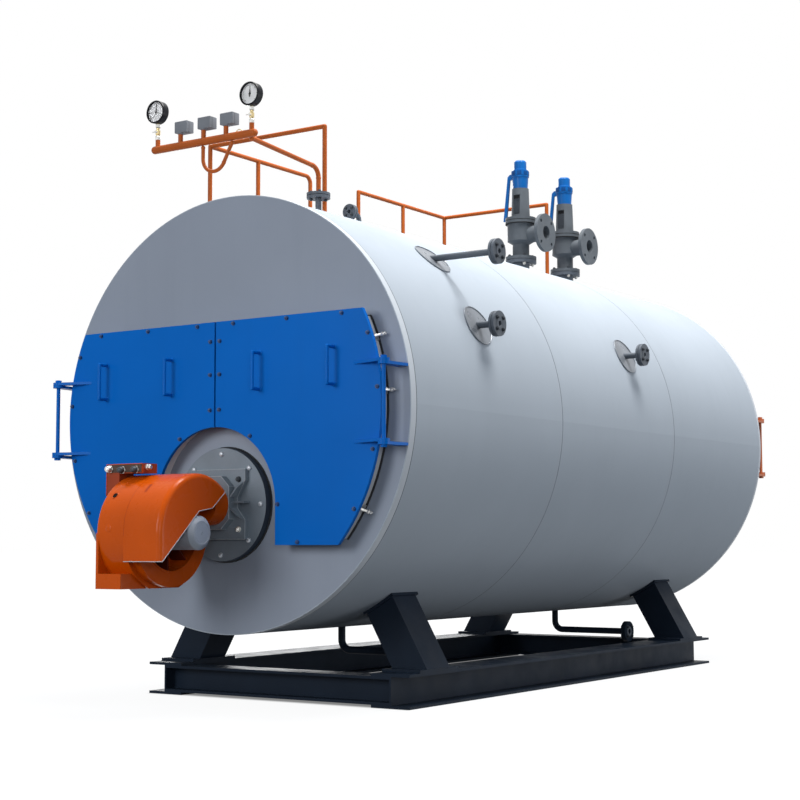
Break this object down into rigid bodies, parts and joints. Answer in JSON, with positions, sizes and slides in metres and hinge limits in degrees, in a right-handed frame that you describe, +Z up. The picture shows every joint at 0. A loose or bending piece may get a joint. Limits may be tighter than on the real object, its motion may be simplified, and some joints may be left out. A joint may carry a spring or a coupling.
{
  "type": "horizontal fire-tube boiler",
  "caption": "Horizontal cylindrical fire-tube boiler with hinged smokebox doors, front burner, safety valves, instrument header and guard rails on a steel base frame.",
  "frame": {"origin": "on the ground under the middle of the whole length and width", "axes": "+Z up, -Y towards the burner and the smokebox doors, +X to the right seen from the burner end; the boiler's axis is along Y"},
  "size_m": [2.266, 5.205, 3.3215],
  "materials": {
    "casing_paint": "satin silver-grey paint on rolled sheet",
    "end_plate_paint": "satin mid-grey paint",
    "boiler_steel": "dark boiler steel",
    "frame_paint": "pale grey heat-proof paint",
    "door_paint": "semi-gloss strong blue paint",
    "hinge_brown": "orange-brown paint",
    "cast_grey": "grey paint on castings",
    "burner_paint": "glossy orange enamel",
    "vane_paint": "dark red-brown paint",
    "box_paint": "red-brown paint",
    "base_paint": "near-black blue paint",
    "nozzle_paint": "dark grey paint",
    "collar_metal": "thin bright sheet",
    "pipe_paint": "orange pipe paint",
    "gauge_black": "black gauge case",
    "switch_grey": "grey switch case",
    "valve_paint": "grey paint on cast valve",
    "valve_blue": "blue valve paint"
  },
  "bodies": {
    "boiler": {"casing_front": "casing_paint", "casing_middle": "casing_paint", "casing_rear": "casing_paint", "drum": "boiler_steel", "front_plate": "end_plate_paint", "rear_plate": "end_plate_paint", "front_tube_plate": "boiler_steel", "rear_tube_plate": "boiler_steel", "front_frame": "frame_paint", "rear_frame": "frame_paint", "left_hinge": "door_paint", "right_hinge": "door_paint", "rear_hinge": "hinge_brown", "flue_outlet": "nozzle_paint", "burner_flange": "cast_grey", "burner_casting": "cast_grey", "burner_housing": "burner_paint", "burner_hood": "burner_paint", "burner_vanes": "vane_paint", "burner_motor": "cast_grey", "burner_box": "box_paint", "base_beams": "base_paint", "cross_beams": "base_paint", "legs": "base_paint", "side_nozzles": "nozzle_paint", "nozzle_collars": "collar_metal", "top_nozzles": "nozzle_paint", "drain_pipes": "base_paint", "instrument_header": "pipe_paint", "header_pipe": "pipe_paint", "siphon": "pipe_paint", "pressure_gauges": "gauge_black", "pressure_switches": "switch_grey", "valve_bodies": "valve_paint", "valve_bonnets": "valve_paint", "valve_caps": "valve_blue", "front_guard_rail": "pipe_paint", "rear_guard_rail": "pipe_paint"},
    "left_leaf": {"left_door": "door_paint", "left_door_fittings": "door_paint"},
    "right_leaf": {"right_door": "door_paint", "right_door_fittings": "door_paint"},
    "rear_leaf": {"rear_door": "door_paint", "rear_door_fittings": "hinge_brown"}
  },
  "joints": [
    {"name": "left_door_swing", "type": "hinge", "parent": "boiler", "child": "left_leaf", "pos_m": [-1.044, -2.0515, 1.454], "axis": [0, 0, -1], "range_deg": [0, 110]},
    {"name": "right_door_swing", "type": "hinge", "parent": "boiler", "child": "right_leaf", "pos_m": [1.044, -2.0515, 1.454], "axis": [0, 0, 1], "range_deg": [0, 110]},
    {"name": "rear_door_swing", "type": "hinge", "parent": "boiler", "child": "rear_leaf", "pos_m": [1.044, 2.5765, 1.454], "axis": [0, 0, -1], "range_deg": [0, 110]}
  ]
}
